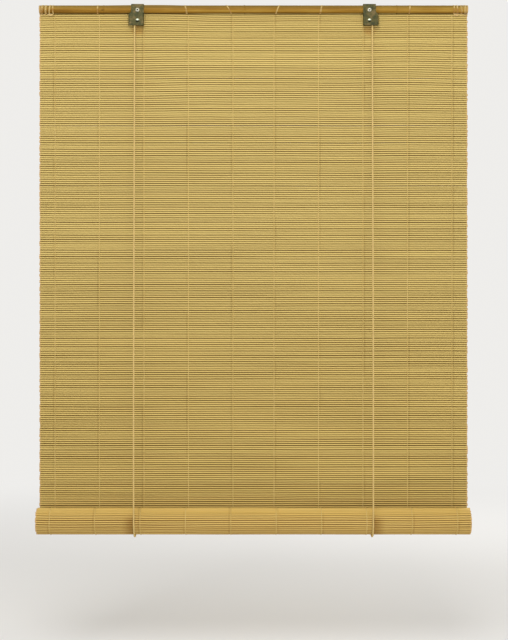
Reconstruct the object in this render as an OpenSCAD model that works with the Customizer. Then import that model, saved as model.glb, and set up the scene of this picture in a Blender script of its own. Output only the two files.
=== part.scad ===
// Bamboo roll-up blind: a reed mat tied to a split bamboo batten, with its lower end
// rolled round a bottom batten and carried in two cord slings that run over pulleys.
// Millimetres. +X runs to the right along the batten, +Y to the back, +Z up.
// The origin lies midway between the two mounting holes, on top of the bracket flanges.

/* [Mat] */
// Width of the mat, the roll and both battens
mat_w = 800; // [640:10:1400]
// Drop from the mounting face down to the axis of the roll
roll_drop = 960; // [400:10:1400]
// Height that one reed takes up in the mat
reed_pitch = 4; // [3:0.1:6]
// Thickness of a reed, front to back
reed_t = 2.2; // [1.6:0.1:3]
// Number of warp threads across the mat
warp_n = 10; // [8:1:14]
// Distance of the outer warp threads from the edge of the mat
warp_inset = 26; // [22:1:40]

/* [Roll] */
// Outer diameter of the roll
roll_d = 52; // [44:1:80]
// Diameter of the bottom batten in the middle of the roll
core_d = 15; // [12:0.5:20]
// Wall of the bottom batten where its ends are hollow
core_wall = 3.4; // [2:0.1:5]

/* [Head batten] */
// Diameter of the bamboo pole that the batten is split from
batten_d = 15.2; // [14.4:0.1:20]
// Wall of the split pole
batten_wall = 3.4; // [2:0.1:5]

/* [Brackets] */
// Distance between the centres of the two brackets
bracket_span = 432; // [300:1:600]
// Width of a bracket where it crosses the batten
bracket_w = 23.5; // [22:0.5:32]
// Extra width of the lower plate on its outer side, over the cord
lobe_w = 5.2; // [3:0.1:8]
// Thickness of the bracket sheet
sheet_t = 1.2; // [0.8:0.1:1.4]
// Distance from the mounting holes forward to the middle of the mat
hole_setback = 14; // [13:0.5:25]
// Diameter of the mounting holes
hole_d = 4.8; // [3:0.1:6]

/* [Pulleys and cords] */
// Diameter of a pulley wheel over its rims
pulley_d = 14; // [13:0.1:17]
// Diameter of the lift cord
cord_d = 3.2; // [2.4:0.1:3.4]
// Distance between the two cord slings under the roll
sling_span = 438; // [300:1:610]
// Diameter of the pulley axle
axle_d = 4; // [3:0.1:4.2]
// Diameter of the screw that holds a bracket to the batten
screw_d = 3.8; // [3:0.1:5]

/* [Hidden] */
$fn = 64;
overrun = 1;
seat_gap = 0.1;

// Mat sizes
web_t = 1;
shoulder_share = 0.26;
slit_h = 0.6;
slit_margin = 6;
slit_most = 80;
slit_stride = 7;
thread_w = 1.6;
thread_t = 0.5;
front_thread_step = 3.3;
tie_t = 0.6;
tie_cut_gap = 0.08;
binding_pitch = 7;
binding_steps = [-3, -2, -1];

// Bamboo nodes of the head batten: the bay between two warp threads, and the share of that bay
node_bays = [1, 4, 7];
node_bay_shares = [0.14, 0.3, 0.72];
node_ring_r = 1.3;
node_rise = 0.6;
node_wall = 3;
core_end_bore = 60;

// Bracket sizes
bend_r = 0.8;
flange_behind_hole = 9;
pulley_drop = 7;
bracket_skirt = 2.2;
screw_drop = 2.6;
wall_drop = 1.8;
shoulder_drop = 3;
guard_depth = 4;
rear_cheek_past = 4;
screw_head_d = 8;
screw_head_h = 2.6;
recess_l = 4.4;
recess_w = 0.9;
recess_mouth_d = 3;
recess_depth = 1.4;
axle_head_d = 7;
axle_head_h = 1.9;
axle_tail_d = 6;
axle_tail_t = 0.8;
tail_mat_gap = 0.5;
washer_d = 12;
washer_t = 0.9;
nut_d = 8;
nut_t = 3.2;
screw_past_nut = 1;
shank_gap = 0.2;

// Pulley and cord sizes
pulley_side_gap = 0.25;
axle_gap = 0.06;
rim_lip = 1.4;
groove_gap = 0.15;
rim_flare = 0.2;
sling_gap = 0.4;
cord_end_gap = 0.1;
tail_l = 6;
knot_d = 4.4;
anchor_turn = 245;
lap_gap = 0.3;
turn_clear = 0.25;

// Angles round the roll that the threads on its outer turn cover
thread_start = 12;
thread_end = 336;
thread_step = 18;

// Heights, from the mounting face down
batten_r = batten_d / 2;
batten_top_z = -(sheet_t + seat_gap);
batten_z = batten_top_z - batten_r;
screw_z = batten_z - screw_drop;
batten_bottom_z = batten_top_z - batten_d;
pulley_r = pulley_d / 2;
pulley_z = batten_bottom_z - pulley_drop - pulley_r;
bracket_bottom_z = pulley_z - pulley_r - bracket_skirt;
wall_top_z = batten_bottom_z - wall_drop;
roll_z = -roll_drop;
roll_r = roll_d / 2;
mat_top_z = batten_top_z;
mat_bottom_z = roll_z + lap_gap;
thread_top_z = batten_bottom_z - seat_gap - tie_t - tie_cut_gap;
front_thread_bottom_z = roll_z + roll_r / 2;

// Depths, from the mat forward and back
mat_y = -hole_setback;
mat_front_y = mat_y - reed_t / 2;
mat_back_y = mat_y + reed_t / 2;
batten_back_y = mat_front_y - seat_gap;
cheek_back_y = batten_back_y - batten_r - seat_gap;
cheek_front_y = cheek_back_y - sheet_t;
rear_cheek_back_y = mat_front_y - tail_mat_gap - axle_tail_t;
rear_cheek_front_y = rear_cheek_back_y - sheet_t;
pulley_w = rear_cheek_front_y - cheek_back_y - 2 * pulley_side_gap;
pulley_y = (rear_cheek_front_y + cheek_back_y) / 2;
roll_y = mat_back_y - roll_r;
bend_outer = bend_r + sheet_t;
flange_back_y = flange_behind_hole;

// Cord lines
cord_r = cord_d / 2;
wrap_r = pulley_r - rim_lip;
bracket_x = bracket_span / 2;
sling_x = sling_span / 2;
thread_sag = roll_r * (1 - cos(thread_step / 2));
sling_r = roll_r + thread_sag + thread_t + sling_gap + cord_r;
anchor_r = screw_d / 2 + seat_gap + cord_r;
anchor_y = mat_back_y + thread_t + seat_gap + cord_r;
washer_y = anchor_y + cord_r + seat_gap;
nut_y = washer_y + washer_t;
screw_end_y = nut_y + nut_t + screw_past_nut;

// Lean of the front cord run, which is tangent to the sling and drops from the pulley
pulley_from_roll_y = pulley_y - roll_y;
pulley_from_roll_z = pulley_z - roll_z;
front_lean = atan2(pulley_from_roll_y, pulley_from_roll_z)
    + asin(sling_r / norm([pulley_from_roll_y, pulley_from_roll_z]));

// Reeds of the hanging mat
mat_h = mat_top_z - mat_bottom_z;
mat_n = floor(mat_h / reed_pitch);
mat_step = mat_h / mat_n;
slit_every = max(2, ceil(mat_n / slit_most));
slit_first = ceil((mat_top_z - thread_top_z) / mat_step) + 1;
slit_last = floor((mat_top_z - roll_z - roll_r) / mat_step);

// The wound mat: a spiral whose turns shrink by turn_pitch, from the tangent line behind the roll
core_r = core_d / 2;
chord_sag = reed_pitch * reed_pitch / (8 * core_r);
turn_pitch = reed_t + turn_clear + chord_sag;
wind_r = roll_r - reed_t / 2;
wind_end_r = core_r + seat_gap + chord_sag + reed_t / 2;
wound_l = PI * (wind_r * wind_r - wind_end_r * wind_end_r) / turn_pitch;
roll_n = floor(wound_l / reed_pitch);
valley_depth = (reed_t - web_t) / 2;

// Place of warp thread k across the mat
function warp_x(k) = -mat_w / 2 + warp_inset + k * (mat_w - 2 * warp_inset) / (warp_n - 1);

// True where a bracket plate covers the batten, so no tie goes round it there
function under_bracket(x) = abs(abs(x) - bracket_x) < bracket_w / 2 + thread_w;

// Angle round the roll, in degrees, after a length of wound mat
function wound_angle(length) =
    (wind_r - sqrt(wind_r * wind_r - turn_pitch * length / PI)) * 360 / turn_pitch;

// Point of the wound mat at an angle, at a height above the middle of its band
function wound_point(angle, rise) =
    let (r = wind_r + rise - turn_pitch * angle / 360) [r * cos(angle), -r * sin(angle)];

// Extrudes a (y, z) outline along X, centred
module along_x(length) {
    rotate([90, 0, 90]) linear_extrude(length, center = true) children();
}

// Turns local +Z to face the front, so a revolved shape stands on the XZ plane
module facing_front(x, y, z) {
    translate([x, y, z]) rotate([90, 0, 0]) children();
}

// Shape drawn for the right-hand side, and its mirror image
module on_side(side) {
    if (side == "left") mirror([1, 0, 0]) children();
    else children();
}

module rod_between(from, to, r) {
    reach = to - from;
    translate(from)
        rotate([0, acos(reach.z / norm(reach)), atan2(reach.y, reach.x)])
            cylinder(r = r, h = norm(reach));
}

// One ridged face of the mat, listed from the top down
function ridged_face(side) = [
    for (i = [0 : mat_n - 1]) each [
        [mat_y + side * web_t / 2, mat_top_z - i * mat_step],
        [mat_y + side * reed_t / 2, mat_top_z - (i + shoulder_share) * mat_step],
        [mat_y + side * reed_t / 2, mat_top_z - (i + 1 - shoulder_share) * mat_step]
    ],
    [mat_y + side * web_t / 2, mat_bottom_z]
];

function reversed(list) = [for (i = [len(list) - 1 : -1 : 0]) list[i]];

// Slit where two reeds bow apart, one bay wide
module reed_slit(i) {
    bay = (i * slit_stride) % (warp_n - 1);
    left = warp_x(bay) + slit_margin;
    right = warp_x(bay + 1) - slit_margin;
    translate([left, mat_front_y - overrun, mat_top_z - i * mat_step - slit_h / 2])
        cube([right - left, reed_t + 2 * overrun, slit_h]);
}

// Mat that hangs from the batten to the roll: one wall of reed ridges, with slits between some of them
module reed_mat() {
    color("#c9aa64") difference() {
        along_x(mat_w) polygon(concat(ridged_face(-1), reversed(ridged_face(1))));
        for (i = [slit_first : slit_every : slit_last]) reed_slit(i);
        for (side = ["left", "right"]) on_side(side)
            facing_front(bracket_x, mat_back_y + overrun, screw_z)
                cylinder(d = screw_d + 2 * shank_gap, h = reed_t + 2 * overrun);
        for (x = concat(tie_places(), binding_places(-1), binding_places(1))) tie_loop(x, tie_cut_gap);
    }
}

// Places of the warp threads that are tied round the batten
function tie_places() = [for (k = [0 : warp_n - 1]) if (!under_bracket(warp_x(k))) warp_x(k)];

// Places of the extra turns that bind the mat to an end of the batten
function binding_places(side) = [
    for (step = binding_steps) side * (mat_w / 2 - warp_inset - step * binding_pitch)
];

// Outline of the batten and the mat behind it, grown on all sides, in (y, z)
module tied_outline(grow) {
    translate([batten_back_y, batten_z]) {
        circle(batten_r + grow);
        translate([0, -batten_r - grow])
            square([mat_back_y - batten_back_y + grow, batten_d + 2 * grow]);
    }
}

// One loop of thread round the batten and the top of the mat; gap widens it to cut its way through
module tie_loop(x, gap) {
    translate([x, 0, 0]) along_x(thread_w + 2 * gap) difference() {
        tied_outline(seat_gap + tie_t + gap);
        tied_outline(seat_gap - gap);
    }
}

module batten_ties() {
    color("#e2c987") for (x = tie_places()) tie_loop(x, 0);
}

module end_binding(side) {
    color("#e2c987") for (x = binding_places(side)) tie_loop(x, 0);
}

// Warp threads down both faces of the mat; those in front lie a step nearer its middle
module warp_threads() {
    color("#dcc07a") for (k = [0 : warp_n - 1]) {
        front_x = warp_x(k) - sign(warp_x(k)) * front_thread_step;
        translate([front_x - thread_w / 2, mat_front_y - thread_t, front_thread_bottom_z])
            cube([thread_w, thread_t, thread_top_z - front_thread_bottom_z]);
        translate([warp_x(k) - thread_w / 2, mat_back_y, mat_bottom_z])
            cube([thread_w, thread_t, thread_top_z - mat_bottom_z]);
    }
}

// Half of a split bamboo pole, hollow side to the mat, with its raised nodes and their walls
module head_batten() {
    color("#a8862f") difference() {
        union() {
            along_x(mat_w) translate([batten_back_y, batten_z]) difference() {
                front_half() circle(batten_r);
                circle(batten_r - batten_wall);
            }
            for (i = [0 : len(node_bays) - 1]) bamboo_node(node_x(i));
        }
        for (side = ["left", "right"]) on_side(side)
            facing_front(bracket_x, batten_back_y + overrun, screw_z)
                cylinder(d = screw_d + 2 * shank_gap, h = batten_r + 2 * overrun);
    }
}

function node_x(i) = let (bay = node_bays[i])
    warp_x(bay) + node_bay_shares[i] * (warp_x(bay + 1) - warp_x(bay));

// Keeps the front half of a (y, z) outline
module front_half() {
    intersection() {
        children();
        translate([-batten_d, -batten_d]) square([batten_d, 2 * batten_d]);
    }
}

module bamboo_node(x) {
    translate([x, 0, 0]) along_x(node_wall)
        translate([batten_back_y, batten_z]) front_half() circle(batten_r);
    translate([x, batten_back_y, batten_z]) rotate([90, 0, 90]) rotate([0, 0, 90])
        rotate_extrude(angle = 180) translate([batten_r + node_rise - node_ring_r, 0]) circle(node_ring_r);
}

// Round bamboo rod that the mat is wound on, hollow at its ends
module bottom_batten() {
    color("#b3924a") translate([0, roll_y, roll_z]) difference() {
        rotate([0, 90, 0]) cylinder(r = core_r, h = mat_w, center = true);
        for (side = [-1, 1]) translate([side * mat_w / 2, 0, 0]) rotate([0, 90, 0])
            cylinder(r = core_r - core_wall, h = 2 * core_end_bore, center = true);
    }
}

// Reeds on the outside of the roll; those of the outer turn are ridged as on the mat
function wound_outside() = [
    for (i = [0 : roll_n - 1]) let (angle = wound_angle(i * reed_pitch))
        if (angle < 360) each [
            wound_point(angle, reed_t / 2 - valley_depth),
            wound_point(wound_angle((i + shoulder_share) * reed_pitch), reed_t / 2),
            wound_point(wound_angle((i + 1 - shoulder_share) * reed_pitch), reed_t / 2)
        ]
        else wound_point(angle, reed_t / 2),
    wound_point(wound_angle(roll_n * reed_pitch), reed_t / 2)
];

function wound_inside() =
    [for (i = [0 : roll_n]) wound_point(wound_angle(i * reed_pitch), -reed_t / 2)];

// Rolled-up end of the mat: its turns are one spiral solid
module reed_roll() {
    color("#cfae66") translate([0, roll_y, roll_z]) along_x(mat_w)
        polygon(concat(wound_outside(), reversed(wound_inside())));
}

// Warp threads over the outer turn of the roll
module roll_threads() {
    angles = [for (a = [thread_start : thread_step : thread_end]) a];
    outer = [for (a = angles) wound_point(a, reed_t / 2 + thread_sag + thread_t)];
    inner = [for (a = angles) wound_point(a, reed_t / 2 + thread_sag)];
    color("#dcc07a") for (k = [0 : warp_n - 1])
        translate([warp_x(k), roll_y, roll_z]) along_x(thread_w)
            polygon(concat(outer, reversed(inner)));
}

// Quarter of a bent sheet edge about a corner point, in the quadrant that the signs name
module bent_quarter(x_sign, y_sign) {
    intersection() {
        difference() {
            circle(bend_outer);
            circle(bend_r);
        }
        translate([min(0, x_sign) * bend_outer, min(0, y_sign) * bend_outer]) square(bend_outer);
    }
}

// Outline of the flat front plate in (x, z), with its wider lower lobe over the cord
module front_plate_outline() {
    inner_x = -bracket_w / 2;
    lobe_x = bracket_w / 2 + lobe_w - bend_outer;
    polygon([
        [inner_x, -bend_outer],
        [inner_x, wall_top_z],
        [inner_x + bend_outer, wall_top_z],
        [inner_x + bend_outer, bracket_bottom_z],
        [lobe_x, bracket_bottom_z],
        [lobe_x, wall_top_z],
        [bracket_w / 2, wall_top_z + shoulder_drop],
        [bracket_w / 2, -bend_outer]
    ]);
}

// Lower channel in (x, y): the inner side wall and the rear cheek behind the pulley, and the outer guard lip
module channel_outline() {
    corner_x = -bracket_w / 2 + bend_outer;
    guard_x = bracket_w / 2 + lobe_w - bend_outer;
    front_y = cheek_front_y + bend_outer;
    rear_y = rear_cheek_back_y - bend_outer;
    translate([corner_x, front_y]) bent_quarter(-1, -1);
    translate([-bracket_w / 2, front_y]) square([sheet_t, rear_y - front_y]);
    translate([corner_x, rear_y]) bent_quarter(-1, 1);
    translate([corner_x, rear_cheek_front_y]) square([axle_tail_d + rear_cheek_past - corner_x, sheet_t]);
    translate([guard_x, front_y]) bent_quarter(1, -1);
    translate([guard_x + bend_r, front_y]) square([sheet_t, guard_depth]);
}

// Sheet-steel bracket: a mounting flange, a front plate over the batten and a channel for the pulley
module pulley_bracket(side) {
    color("#69643f") on_side(side) translate([bracket_x, 0, 0]) difference() {
        union() {
            translate([-bracket_w / 2, cheek_front_y + bend_outer, -sheet_t])
                cube([bracket_w, flange_back_y - cheek_front_y - bend_outer, sheet_t]);
            along_x(bracket_w) translate([cheek_front_y + bend_outer, -bend_outer]) bent_quarter(-1, 1);
            facing_front(0, cheek_back_y, 0) linear_extrude(sheet_t) front_plate_outline();
            translate([0, 0, bracket_bottom_z])
                linear_extrude(wall_top_z - bracket_bottom_z) channel_outline();
        }
        translate([0, 0, -sheet_t - overrun]) cylinder(d = hole_d, h = sheet_t + 2 * overrun);
        facing_front(0, cheek_back_y + overrun, screw_z)
            cylinder(d = screw_d + 2 * shank_gap, h = sheet_t + 2 * overrun);
        facing_front(0, rear_cheek_back_y + overrun, pulley_z)
            cylinder(d = axle_d + 2 * axle_gap, h = rear_cheek_back_y - cheek_front_y + 2 * overrun);
    }
}

// Domed head standing on the local XY plane
module domed_head(d, h) {
    dome_r = (d * d / 4 + h * h) / (2 * h);
    intersection() {
        translate([0, 0, h - dome_r]) sphere(dome_r);
        cylinder(d = d, h = h);
    }
}

// Cross-recessed screw through the front plate, the batten and the mat
module bracket_screw(side) {
    color("#c9c9bd") on_side(side) facing_front(bracket_x, cheek_front_y, screw_z) {
        difference() {
            domed_head(screw_head_d, screw_head_h);
            translate([0, 0, screw_head_h - recess_depth / 2]) {
                cube([recess_l, recess_w, recess_depth], center = true);
                cube([recess_w, recess_l, recess_depth], center = true);
                cylinder(d1 = recess_w, d2 = recess_mouth_d, h = recess_depth, center = true);
            }
        }
        translate([0, 0, cheek_front_y - screw_end_y]) cylinder(d = screw_d, h = screw_end_y - cheek_front_y);
    }
}

// Washers that clamp the cord loops behind the mat
module screw_washers() {
    color("#b5b3a4") for (side = ["left", "right"]) on_side(side)
        facing_front(bracket_x, washer_y + washer_t, screw_z) difference() {
            cylinder(d = washer_d, h = washer_t);
            translate([0, 0, -overrun]) cylinder(d = screw_d + 2 * shank_gap, h = washer_t + 2 * overrun);
        }
}

module screw_nuts() {
    color("#b5b3a4") for (side = ["left", "right"]) on_side(side)
        facing_front(bracket_x, nut_y + nut_t, screw_z) difference() {
            cylinder(d = nut_d, h = nut_t, $fn = 6);
            translate([0, 0, -overrun]) cylinder(d = screw_d + 2 * seat_gap, h = nut_t + 2 * overrun);
        }
}

// Rivet that the pulley turns on, headed in front and behind
module axle_rivet(side) {
    color("#8d8a70") on_side(side) facing_front(bracket_x, cheek_front_y, pulley_z) {
        domed_head(axle_head_d, axle_head_h);
        translate([0, 0, cheek_front_y - rear_cheek_back_y])
            cylinder(d = axle_d, h = rear_cheek_back_y - cheek_front_y);
        translate([0, 0, cheek_front_y - rear_cheek_back_y - axle_tail_t])
            cylinder(d = axle_tail_d, h = axle_tail_t);
    }
}

// Half section of the pulley wheel: a round groove that opens out to the rims
module pulley_section() {
    groove_r = cord_r + groove_gap;
    difference() {
        translate([axle_d / 2 + axle_gap, -pulley_w / 2])
            square([pulley_r - axle_d / 2 - axle_gap, pulley_w]);
        translate([wrap_r, 0]) circle(groove_r);
        polygon([
            [wrap_r, -groove_r],
            [pulley_r, -groove_r - rim_flare],
            [pulley_r, groove_r + rim_flare],
            [wrap_r, groove_r]
        ]);
    }
}

module pulley_wheel(side) {
    color("#3d3a30") on_side(side) facing_front(bracket_x, pulley_y, pulley_z)
        rotate_extrude() pulley_section();
}

// Cord over the pulley, ended in a knot behind the front plate
module cord_tail(side) {
    color("#d9bd78") on_side(side) facing_front(bracket_x, pulley_y, pulley_z) {
        rotate_extrude(angle = 180) translate([wrap_r, 0]) circle(cord_r);
        translate([-wrap_r, 0, 0]) rotate([90, 0, 0]) cylinder(r = cord_r, h = tail_l);
        translate([-wrap_r, -tail_l, 0]) sphere(d = knot_d);
    }
}

// Cord run in front of the mat, from the pulley down to the sling
module cord_front(side) {
    lean = [0, -sin(front_lean), -cos(front_lean)];
    top = [bracket_x + wrap_r, pulley_y, pulley_z];
    bottom = [sling_x, roll_y - sling_r * cos(front_lean), roll_z + sling_r * sin(front_lean)];
    color("#d9bd78") on_side(side)
        rod_between(bottom - cord_end_gap * lean, top + cord_end_gap * lean, cord_r);
}

// Cord under the roll, from the mat's back round to the front run
module cord_sling(side) {
    color("#d9bd78") on_side(side) translate([sling_x, roll_y, roll_z])
        rotate([90, 0, 90]) rotate([180, 0, 0])
            rotate_extrude(angle = 180 + front_lean) translate([sling_r, 0]) circle(cord_r);
}

// Cord run behind the mat, from the sling up to its anchor
module cord_back(side) {
    bottom = [sling_x, roll_y + sling_r, roll_z + cord_end_gap];
    top = [bracket_x + anchor_r, anchor_y, screw_z - cord_end_gap];
    color("#d9bd78") on_side(side) rod_between(bottom, top, cord_r);
}

// End of the cord, looped round the bracket screw behind the mat
module cord_anchor(side) {
    color("#d9bd78") on_side(side) facing_front(bracket_x, anchor_y, screw_z)
        rotate_extrude(angle = anchor_turn) translate([anchor_r, 0]) circle(cord_r);
}

head_batten();
reed_mat();
warp_threads();
batten_ties();
end_binding(-1);  // end_binding_left
end_binding(1);  // end_binding_right
pulley_bracket("left");  // bracket_left
pulley_bracket("right");  // bracket_right
bracket_screw("left");  // bracket_screw_left
bracket_screw("right");  // bracket_screw_right
screw_washers();
screw_nuts();
axle_rivet("left");  // axle_rivet_left
axle_rivet("right");  // axle_rivet_right
pulley_wheel("left");  // pulley_wheel_left
pulley_wheel("right");  // pulley_wheel_right
cord_tail("left");  // lift_cord_left_tail
cord_tail("right");  // lift_cord_right_tail
cord_front("left");  // lift_cord_left_front
cord_front("right");  // lift_cord_right_front
cord_sling("left");  // lift_cord_left_sling
cord_sling("right");  // lift_cord_right_sling
cord_back("left");  // lift_cord_left_back
cord_back("right");  // lift_cord_right_back
cord_anchor("left");  // lift_cord_left_anchor
cord_anchor("right");  // lift_cord_right_anchor
reed_roll();
bottom_batten();
roll_threads();
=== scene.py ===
"""Bamboo roll-up blind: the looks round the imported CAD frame.

Metres, in the frame of the CAD part: +X right along the batten, +Y to the back, +Z up.
"""

import math
import random

import bmesh
import bpy
from mathutils import Matrix, Vector, noise


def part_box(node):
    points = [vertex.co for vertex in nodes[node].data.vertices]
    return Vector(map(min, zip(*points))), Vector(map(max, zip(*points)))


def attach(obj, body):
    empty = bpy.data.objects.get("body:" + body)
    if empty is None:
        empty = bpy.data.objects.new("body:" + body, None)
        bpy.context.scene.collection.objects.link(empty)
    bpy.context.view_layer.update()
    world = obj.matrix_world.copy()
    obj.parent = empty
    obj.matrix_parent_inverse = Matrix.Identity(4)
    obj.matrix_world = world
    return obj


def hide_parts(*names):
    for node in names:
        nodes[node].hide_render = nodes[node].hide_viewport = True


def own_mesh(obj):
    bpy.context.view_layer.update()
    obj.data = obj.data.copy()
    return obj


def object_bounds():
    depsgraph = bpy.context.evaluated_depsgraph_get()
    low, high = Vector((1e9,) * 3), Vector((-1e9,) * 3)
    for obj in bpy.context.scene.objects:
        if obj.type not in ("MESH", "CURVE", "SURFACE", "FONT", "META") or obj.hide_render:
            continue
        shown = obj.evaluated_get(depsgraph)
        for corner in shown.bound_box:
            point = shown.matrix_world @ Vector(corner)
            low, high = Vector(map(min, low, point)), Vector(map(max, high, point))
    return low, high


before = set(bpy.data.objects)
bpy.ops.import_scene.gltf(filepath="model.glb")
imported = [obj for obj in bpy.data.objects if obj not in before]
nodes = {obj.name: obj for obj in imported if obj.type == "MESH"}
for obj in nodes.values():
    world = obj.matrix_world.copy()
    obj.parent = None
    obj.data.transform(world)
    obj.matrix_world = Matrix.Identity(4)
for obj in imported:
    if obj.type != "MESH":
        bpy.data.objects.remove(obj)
cad_low, cad_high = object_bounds()
MM = 0.001
SIDES = ("left", "right")

# The photograph's frame, with where it shows the mat's edges and the mounting face, in pixels
PHOTO_W_PX, PHOTO_H_PX = 508, 640
MAT_LEFT_PX, MAT_RIGHT_PX = 39.5, 467.5
MOUNTING_FACE_PX = 5
CAMERA_DISTANCE = 2.362
SENSOR = 36.0

# Places and sizes that the CAD nodes give
mat_low, mat_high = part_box("reed_mat")
mat_y = (mat_low.y + mat_high.y) / 2
mat_w = mat_high.x - mat_low.x
mat_top, mat_bottom = mat_high.z, mat_low.z
reed_t = mat_high.y - mat_low.y
core_low, core_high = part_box("bottom_batten")
roll_axis = (core_low + core_high) / 2
core_r = (core_high.z - core_low.z) / 2
roll_r = mat_high.y - roll_axis.y
thread_low, thread_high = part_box("warp_threads")
batten_low, batten_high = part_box("head_batten")
tie_low, tie_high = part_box("batten_ties")
sling_low, sling_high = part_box("lift_cord_right_sling")
cord_r = (sling_high.x - sling_low.x) / 2
sling_x = (sling_high.x + sling_low.x) / 2
sling_r = roll_axis.z - sling_low.z - cord_r
pulley_low, pulley_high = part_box("pulley_wheel_right")
pulley = (pulley_low + pulley_high) / 2
bracket_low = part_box("bracket_right")[0]
anchor_low, anchor_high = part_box("lift_cord_right_anchor")
screw_low, screw_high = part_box("bracket_screw_right")
tail_low, tail_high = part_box("lift_cord_right_tail")

# Reeds: how many hang, and how much each differs from its neighbours
REED_COUNT = 239
REED_SIDES = 6
REED_FILL = 1.11
REED_FILL_SPREAD = 0.06
REED_DEPTH_SPREAD = 0.1
END_RAGGED, END_PROUD = 1.1 * MM, 0.4
JOG = 0.25 * MM
SWAY = 0.2 * MM
STAGGER = 0.2 * MM
TONE_SPREAD, BAY_TONE = 0.05, 0.06
reed_pitch = (mat_top - mat_bottom) / REED_COUNT

# How far reeds bow, over what length and how many reeds, and how soon they lie stiller below the batten
BOW = 2.8 * MM
BOW_SPAN = 0.16
BOW_REEDS = 30
BOW_LOW = 0.28
LOOSE_REEDS = 90

# Darkness of the painted shade in the lines between reeds: most of it is even, and the rest changes along a
# reed
LINE_EVEN, LINE_SPREAD = 0.97, 0.2
LINE_SPAN = 0.2

# Warp threads, the creases that they bite into the reeds, and cords
WARP_COUNT = 10
RIBBON_W = 1.6 * MM
THREAD_R = 0.6 * MM
THREAD_STANDS = THREAD_R / 2
THREAD_DIP = 0.35 * MM
THREAD_WOBBLE = 0.3 * MM
THREAD_ZIGZAG = THREAD_WOBBLE / 12
CREASE_HALF = 2.6 * MM
CREASE_DEPTH = 0.72
CREASE_STEP = 3.3 * MM
CORD_LAY = 8.5 * MM
CORD_LAY_STEPS = 8
STRANDS = 3
warp_w = thread_high.x - thread_low.x - RIBBON_W
warp_places = [-warp_w / 2 + k * warp_w / (WARP_COUNT - 1) for k in range(WARP_COUNT)]

draw = random.Random(17)


# Making objects

def new_object(name, mesh, material, body, slot, *stands_for):
    """A finished piece: it shows a material, rides on a body and stands for CAD nodes."""
    piece = bpy.data.objects.new(name, mesh)
    bpy.context.scene.collection.objects.link(piece)
    mesh.materials.append(material)
    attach(piece, body)
    if stands_for:
        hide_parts(*stands_for)
    return piece


def tube_mesh(name, paths, radius):
    """Round tubes along lists of points, as one mesh."""
    curve = bpy.data.curves.new(name, "CURVE")
    curve.dimensions = "3D"
    curve.bevel_depth = radius
    curve.bevel_resolution = 1
    curve.use_fill_caps = True
    for path in paths:
        spline = curve.splines.new("POLY")
        spline.points.add(len(path) - 1)
        spline.points.foreach_set("co", [c for p in path for c in (*p, 1.0)])
        spline.use_smooth = True
    holder = bpy.data.objects.new(name, curve)
    bpy.context.scene.collection.objects.link(holder)
    evaluated = holder.evaluated_get(bpy.context.evaluated_depsgraph_get())
    mesh = bpy.data.meshes.new_from_object(evaluated)
    bpy.data.objects.remove(holder)
    bpy.data.curves.remove(curve)
    return mesh


def rope_paths(path, normal, radius):
    """Strands laid round a path that stays square to normal; the path's points are evenly spaced."""
    side = Vector(normal).normalized()
    paths = [[] for _ in range(STRANDS)]
    gone = 0.0
    for i, point in enumerate(path):
        before, after = path[max(i - 1, 0)], path[min(i + 1, len(path) - 1)]
        along = (after - before).normalized()
        across = along.cross(side)
        gone += (point - before).length
        for k, strand in enumerate(paths):
            turn = math.tau * (gone / CORD_LAY + k / STRANDS)
            strand.append(point + (side * math.cos(turn) + across * math.sin(turn)) * radius / 2)
    return paths


def straight(start, end, step):
    count = max(2, round((end - start).length / step))
    return [start.lerp(end, i / count) for i in range(count + 1)]


def arc(centre, first, second, radius, start, end, step):
    """Points round centre, from the direction first towards second, by angles in radians."""
    count = max(2, round(abs(end - start) * radius / step))
    angles = [start + (end - start) * i / count for i in range(count + 1)]
    return [centre + (first * math.cos(a) + second * math.sin(a)) * radius for a in angles]


# Finishes

def linear(*srgb):
    """A colour written as 0 to 255 screen values, for a shader socket."""
    share = [c / 255 for c in srgb]
    return tuple(c / 12.92 if c <= 0.04045 else ((c + 0.055) / 1.055) ** 2.4 for c in share) + (1.0,)


# Detail of broad and fine noise, and the share of an oval patch that has its full colour
BROAD, FINE = 2.0, 3.0
OVAL_CORE = 0.3


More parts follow.
